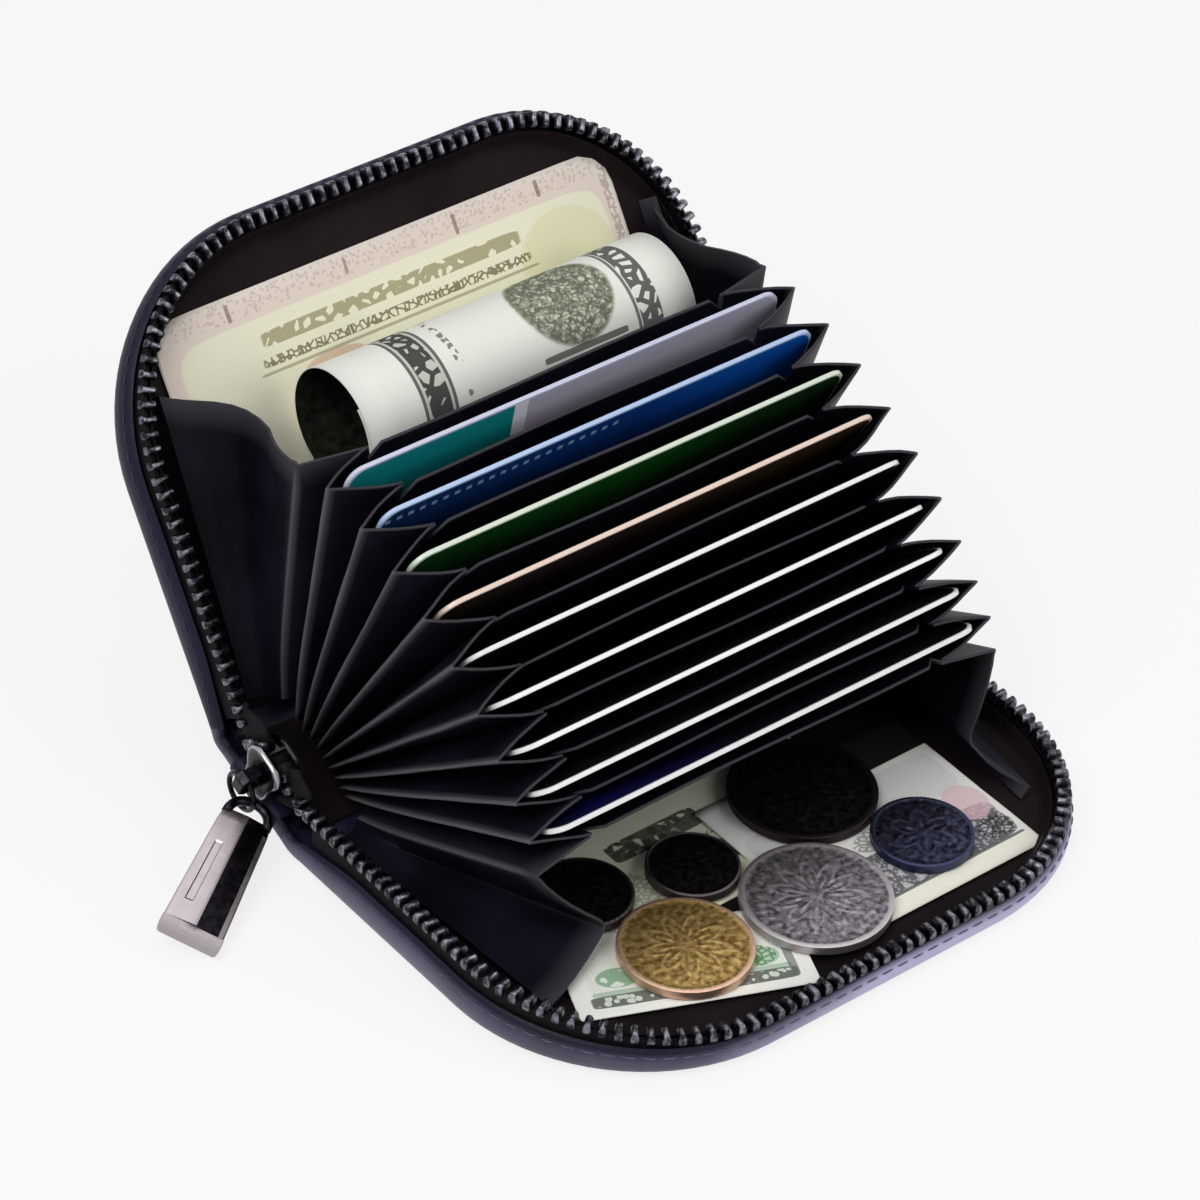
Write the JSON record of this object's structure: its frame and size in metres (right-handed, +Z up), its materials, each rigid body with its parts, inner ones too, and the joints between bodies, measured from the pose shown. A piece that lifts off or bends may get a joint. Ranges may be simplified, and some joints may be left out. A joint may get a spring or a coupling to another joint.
{
  "type": "zip-around accordion card wallet",
  "caption": "Leather zip-around wallet that opens like a book on a fan of card pockets, with a large compartment in each cover for notes and coins.",
  "frame": {"origin": "middle of the front cover's outer face, on the surface that the wallet rests on", "axes": "+X along the spine, +Y from the front cover's zipped edge towards the spine, +Z up"},
  "size_m": [0.1433, 0.1392, 0.0751],
  "materials": {
    "grey_board": "matt stiffener board",
    "navy_leather": "smooth, slight sheen",
    "thin_black_leather": "smooth, folded",
    "black_lining": "matt woven",
    "zip_teeth_nickel": "nickel plated",
    "card_1": "laminated card",
    "card_2": "laminated card",
    "card_3": "laminated card",
    "card_4": "laminated card",
    "card_5": "laminated card",
    "card_6": "laminated card",
    "card_7": "laminated card",
    "card_8": "laminated card",
    "card_9": "laminated card",
    "blue_grey_coin": "tarnished",
    "dark_coin": "tarnished",
    "gold_coin": "struck",
    "silver_coin": "struck",
    "cream_note": "printed paper",
    "printed_note": "printed paper",
    "rolled_note": "printed paper",
    "zip_pull_nickel": "satin nickel"
  },
  "bodies": {
    "front_cover": {"front_cover": "navy_leather", "front_board": "grey_board", "front_lining": "black_lining", "front_zip_tape": "black_lining", "front_gusset": "thin_black_leather", "note_under_fan": "printed_note", "note_front_left": "printed_note", "note_front_right": "printed_note"},
    "spine": {"spine_panel": "navy_leather", "spine_lining": "black_lining", "zip_end_tab_left": "navy_leather", "zip_end_tab_right": "navy_leather"},
    "back_cover": {"back_cover": "navy_leather", "back_board": "grey_board", "back_lining": "black_lining", "back_zip_tape": "black_lining", "back_gusset": "thin_black_leather", "note_back": "cream_note"},
    "front_zip": {"front_zip_teeth": "zip_teeth_nickel"},
    "back_zip": {"back_zip_teeth": "zip_teeth_nickel"},
    "slider": {"slider_body": "zip_pull_nickel", "slider_bridge": "zip_pull_nickel"},
    "pull_link": {"pull_link": "zip_pull_nickel"},
    "pull_tab": {"pull_tab": "zip_pull_nickel"},
    "note_roll": {"note_roll": "rolled_note"},
    "divider_01": {"divider_01": "thin_black_leather"},
    "divider_02": {"divider_02": "thin_black_leather"},
    "divider_03": {"divider_03": "thin_black_leather"},
    "divider_04": {"divider_04": "thin_black_leather"},
    "divider_05": {"divider_05": "thin_black_leather"},
    "divider_06": {"divider_06": "thin_black_leather"},
    "divider_07": {"divider_07": "thin_black_leather"},
    "divider_08": {"divider_08": "thin_black_leather"},
    "divider_09": {"divider_09": "thin_black_leather"},
    "divider_10": {"divider_10": "thin_black_leather"},
    "pocket_1": {"pocket_gusset_1": "thin_black_leather"},
    "card_1": {"card_1": "card_1"},
    "pocket_2": {"pocket_gusset_2": "thin_black_leather"},
    "card_2": {"card_2": "card_2"},
    "pocket_3": {"pocket_gusset_3": "thin_black_leather"},
    "card_3": {"card_3": "card_3"},
    "pocket_4": {"pocket_gusset_4": "thin_black_leather"},
    "card_4": {"card_4": "card_4"},
    "pocket_5": {"pocket_gusset_5": "thin_black_leather"},
    "card_5": {"card_5": "card_5"},
    "pocket_6": {"pocket_gusset_6": "thin_black_leather"},
    "card_6": {"card_6": "card_6"},
    "pocket_7": {"pocket_gusset_7": "thin_black_leather"},
    "card_7": {"card_7": "card_7"},
    "pocket_8": {"pocket_gusset_8": "thin_black_leather"},
    "card_8": {"card_8": "card_8"},
    "pocket_9": {"pocket_gusset_9": "thin_black_leather"},
    "card_9": {"card_9": "card_9"},
    "coin_silver": {"coin_silver": "silver_coin"},
    "coin_gold": {"coin_gold": "gold_coin"},
    "coin_dark_back": {"coin_dark_back": "dark_coin"},
    "coin_blue_small": {"coin_blue_small": "blue_grey_coin"},
    "coin_dark_middle": {"coin_dark_middle": "dark_coin"},
    "coin_dark_left": {"coin_dark_left": "dark_coin"}
  },
  "joints": [
    {"name": "front_fold", "type": "hinge", "parent": "front_cover", "child": "spine", "pos_m": [0, 0.037, 0.0011], "axis": [-1, 0, 0], "range_deg": [-67.5, 0], "deforming": ["front_gusset", "back_gusset", "note_roll", "pocket_gusset_1", "pocket_gusset_2", "pocket_gusset_3", "pocket_gusset_4", "pocket_gusset_5", "pocket_gusset_6", "pocket_gusset_7", "pocket_gusset_8", "pocket_gusset_9"]},
    {"name": "back_fold", "type": "hinge", "parent": "spine", "child": "back_cover", "pos_m": [0, 0.05733, 0.00952], "axis": [-1, 0, 0], "range_deg": [-57.5, 0]},
    {"name": "front_zip_rise", "type": "slide", "parent": "front_cover", "child": "front_zip", "axis": [0, 0, 1], "range_m": [0, 0.00487], "deforming": ["front_zip_tape"]},
    {"name": "back_zip_rise", "type": "slide", "parent": "back_cover", "child": "back_zip", "axis": [0, -0.8192, 0.5736], "range_m": [0, 0.00487], "deforming": ["back_zip_tape"]},
    {"name": "divider_01_lean", "type": "hinge", "parent": "spine", "child": "divider_01", "pos_m": [0, 0.05343, 0.00899], "axis": [-1, 0, 0], "range_deg": [-18.3, 0]},
    {"name": "divider_02_lean", "type": "hinge", "parent": "spine", "child": "divider_02", "pos_m": [0, 0.05205, 0.00842], "axis": [-1, 0, 0], "range_deg": [-10.35, 0]},
    {"name": "divider_03_lean", "type": "hinge", "parent": "spine", "child": "divider_03", "pos_m": [0, 0.05066, 0.00784], "axis": [-1, 0, 0], "range_deg": [-2.8, 0]},
    {"name": "divider_04_lean", "type": "hinge", "parent": "spine", "child": "divider_04", "pos_m": [0, 0.04927, 0.00727], "axis": [-1, 0, 0], "range_deg": [0, 4.6]},
    {"name": "divider_05_lean", "type": "hinge", "parent": "spine", "child": "divider_05", "pos_m": [0, 0.04789, 0.00669], "axis": [-1, 0, 0], "range_deg": [0, 11.9]},
    {"name": "divider_06_lean", "type": "hinge", "parent": "spine", "child": "divider_06", "pos_m": [0, 0.0465, 0.00612], "axis": [-1, 0, 0], "range_deg": [0, 18.9]},
    {"name": "divider_07_lean", "type": "hinge", "parent": "spine", "child": "divider_07", "pos_m": [0, 0.04512, 0.00554], "axis": [-1, 0, 0], "range_deg": [0, 25.5]},
    {"name": "divider_08_lean", "type": "hinge", "parent": "spine", "child": "divider_08", "pos_m": [0, 0.04373, 0.00497], "axis": [-1, 0, 0], "range_deg": [0, 31.6]},
    {"name": "divider_09_lean", "type": "hinge", "parent": "spine", "child": "divider_09", "pos_m": [0, 0.04235, 0.0044], "axis": [-1, 0, 0], "range_deg": [0, 37]},
    {"name": "divider_10_lean", "type": "hinge", "parent": "spine", "child": "divider_10", "pos_m": [0, 0.04096, 0.00382], "axis": [-1, 0, 0], "range_deg": [0, 42.1]},
    {"name": "pocket_1_lean", "type": "hinge", "parent": "spine", "child": "pocket_1", "pos_m": [0, 0.05274, 0.0087], "axis": [-1, 0, 0], "range_deg": [-14.2, 0]},
    {"name": "card_1_slide", "type": "slide", "parent": "pocket_1", "child": "card_1", "axis": [0, -0.1444, 0.9895], "range_m": [0, 0.045]},
    {"name": "pocket_2_lean", "type": "hinge", "parent": "spine", "child": "pocket_2", "pos_m": [0, 0.05135, 0.00813], "axis": [-1, 0, 0], "range_deg": [-6.5, 0]},
    {"name": "card_2_slide", "type": "slide", "parent": "pocket_2", "child": "card_2", "axis": [0, -0.2756, 0.9613], "range_m": [0, 0.045]},
    {"name": "pocket_3_lean", "type": "hinge", "parent": "spine", "child": "pocket_3", "pos_m": [0, 0.04997, 0.00755], "axis": [-1, 0, 0], "range_deg": [0, 0.901]},
    {"name": "card_3_slide", "type": "slide", "parent": "pocket_3", "child": "card_3", "axis": [0, -0.3971, 0.9178], "range_m": [0, 0.045]},
    {"name": "pocket_4_lean", "type": "hinge", "parent": "spine", "child": "pocket_4", "pos_m": [0, 0.04858, 0.00698], "axis": [-1, 0, 0], "range_deg": [0, 8.3]},
    {"name": "card_4_slide", "type": "slide", "parent": "pocket_4", "child": "card_4", "axis": [0, -0.512, 0.859], "range_m": [0, 0.045]},
    {"name": "pocket_5_lean", "type": "hinge", "parent": "spine", "child": "pocket_5", "pos_m": [0, 0.0472, 0.00641], "axis": [-1, 0, 0], "range_deg": [0, 15.5]},
    {"name": "card_5_slide", "type": "slide", "parent": "pocket_5", "child": "card_5", "axis": [0, -0.6157, 0.788], "range_m": [0, 0.045]},
    {"name": "pocket_6_lean", "type": "hinge", "parent": "spine", "child": "pocket_6", "pos_m": [0, 0.04581, 0.00583], "axis": [-1, 0, 0], "range_deg": [0, 22.3]},
    {"name": "card_6_slide", "type": "slide", "parent": "pocket_6", "child": "card_6", "axis": [0, -0.7046, 0.7096], "range_m": [0, 0.045]},
    {"name": "pocket_7_lean", "type": "hinge", "parent": "spine", "child": "pocket_7", "pos_m": [0, 0.04442, 0.00526], "axis": [-1, 0, 0], "range_deg": [0, 28.7]},
    {"name": "card_7_slide", "type": "slide", "parent": "pocket_7", "child": "card_7", "axis": [0, -0.7793, 0.6266], "range_m": [0, 0.045]},
    {"name": "pocket_8_lean", "type": "hinge", "parent": "spine", "child": "pocket_8", "pos_m": [0, 0.04304, 0.00468], "axis": [-1, 0, 0], "range_deg": [0, 34.5]},
    {"name": "card_8_slide", "type": "slide", "parent": "pocket_8", "child": "card_8", "axis": [0, -0.8387, 0.5446], "range_m": [0, 0.045]},
    {"name": "pocket_9_lean", "type": "hinge", "parent": "spine", "child": "pocket_9", "pos_m": [0, 0.04165, 0.00411], "axis": [-1, 0, 0], "range_deg": [0, 39.5]},
    {"name": "card_9_slide", "type": "slide", "parent": "pocket_9", "child": "card_9", "axis": [0, -0.8829, 0.4695], "range_m": [0, 0.045]},
    {"name": "coin_silver_lift", "type": "slide", "parent": "front_cover", "child": "coin_silver", "axis": [0, 0, 1], "range_m": [0, 0.01]},
    {"name": "coin_gold_lift", "type": "slide", "parent": "front_cover", "child": "coin_gold", "axis": [0, 0, 1], "range_m": [0, 0.01]},
    {"name": "coin_dark_back_lift", "type": "slide", "parent": "front_cover", "child": "coin_dark_back", "axis": [0, 0, 1], "range_m": [0, 0.01]},
    {"name": "coin_blue_small_lift", "type": "slide", "parent": "front_cover", "child": "coin_blue_small", "axis": [0, 0, 1], "range_m": [0, 0.01]},
    {"name": "coin_dark_middle_lift", "type": "slide", "parent": "front_cover", "child": "coin_dark_middle", "axis": [0, 0, 1], "range_m": [0, 0.01]},
    {"name": "coin_dark_left_lift", "type": "slide", "parent": "front_cover", "child": "coin_dark_left", "axis": [0, 0, 1], "range_m": [0, 0.01]},
    {"name": "note_roll_slide", "type": "slide", "parent": "back_cover", "child": "note_roll", "axis": [0, 0.2756, 0.9613], "range_m": [0, 0.04]},
    {"name": "slider_run", "type": "slide", "parent": "spine", "child": "slider", "axis": [0, -0.3827, 0.9239], "range_m": [0, 0.045]},
    {"name": "pull_link_swing", "type": "hinge", "parent": "slider", "child": "pull_link", "pos_m": [-0.06076, 0.04397, 0.01302], "axis": [0, 0.9239, 0.3827], "range_deg": [0, 85]},
    {"name": "pull_tab_swing", "type": "hinge", "parent": "pull_link", "child": "pull_tab", "pos_m": [-0.06076, 0.04224, 0.00884], "axis": [0, 0.3827, -0.9239], "range_deg": [0, 85]}
  ],
  "couplings": [
    {"joint": "back_fold", "follows": "front_fold", "ratio": 0.85185},
    {"joint": "front_zip_rise", "follows": "front_fold", "m_per_rad": -0.0041168},
    {"joint": "back_zip_rise", "follows": "front_fold", "m_per_rad": -0.0041168},
    {"joint": "divider_01_lean", "follows": "front_fold", "ratio": 0.27111},
    {"joint": "divider_02_lean", "follows": "front_fold", "ratio": 0.15333},
    {"joint": "divider_03_lean", "follows": "front_fold", "ratio": 0.041481},
    {"joint": "divider_04_lean", "follows": "front_fold", "ratio": -0.068148},
    {"joint": "divider_05_lean", "follows": "front_fold", "ratio": -0.1763},
    {"joint": "divider_06_lean", "follows": "front_fold", "ratio": -0.28},
    {"joint": "divider_07_lean", "follows": "front_fold", "ratio": -0.37778},
    {"joint": "divider_08_lean", "follows": "front_fold", "ratio": -0.46815},
    {"joint": "divider_09_lean", "follows": "front_fold", "ratio": -0.54815},
    {"joint": "divider_10_lean", "follows": "front_fold", "ratio": -0.6237},
    {"joint": "pocket_1_lean", "follows": "front_fold", "ratio": 0.21037},
    {"joint": "pocket_2_lean", "follows": "front_fold", "ratio": 0.096296},
    {"joint": "pocket_3_lean", "follows": "front_fold", "ratio": -0.013333},
    {"joint": "pocket_4_lean", "follows": "front_fold", "ratio": -0.12296},
    {"joint": "pocket_5_lean", "follows": "front_fold", "ratio": -0.22963},
    {"joint": "pocket_6_lean", "follows": "front_fold", "ratio": -0.33037},
    {"joint": "pocket_7_lean", "follows": "front_fold", "ratio": -0.42519},
    {"joint": "pocket_8_lean", "follows": "front_fold", "ratio": -0.51111},
    {"joint": "pocket_9_lean", "follows": "front_fold", "ratio": -0.58519}
  ]
}
